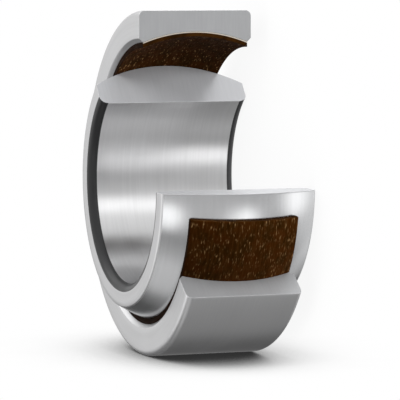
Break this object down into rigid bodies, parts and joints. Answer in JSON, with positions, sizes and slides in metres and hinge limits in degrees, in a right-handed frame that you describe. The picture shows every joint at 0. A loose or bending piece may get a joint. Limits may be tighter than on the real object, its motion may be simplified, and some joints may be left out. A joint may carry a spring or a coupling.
{
  "type": "spherical plain bearing",
  "caption": "Cut-open spherical plain bearing: an inner ring with a ball-shaped outside turns and swivels in a fibre-lined outer ring, to join a shaft and a housing that may not be in line.",
  "frame": {"origin": "centre of the sphere, which is also the middle of the bore", "axes": "+Z along the bore's axis, away from the end that it stands on; +X through the outer ring's first cut face, so the cut-away window faces -Y and +X"},
  "size_m": [0.026, 0.0242, 0.012],
  "materials": {
    "outer_ring": "satin",
    "sliding_liner": "matte",
    "inner_ring": "polished"
  },
  "bodies": {
    "outer": {"outer_ring": "outer_ring", "sliding_liner": "sliding_liner"},
    "inner": {"inner_ring": "inner_ring"}
  },
  "joints": [
    {"name": "inner_ring_turn", "type": "hinge", "parent": "outer", "child": "inner", "pos_m": [0, 0, 0], "axis": [0, 0, 1], "continuous": true}
  ]
}
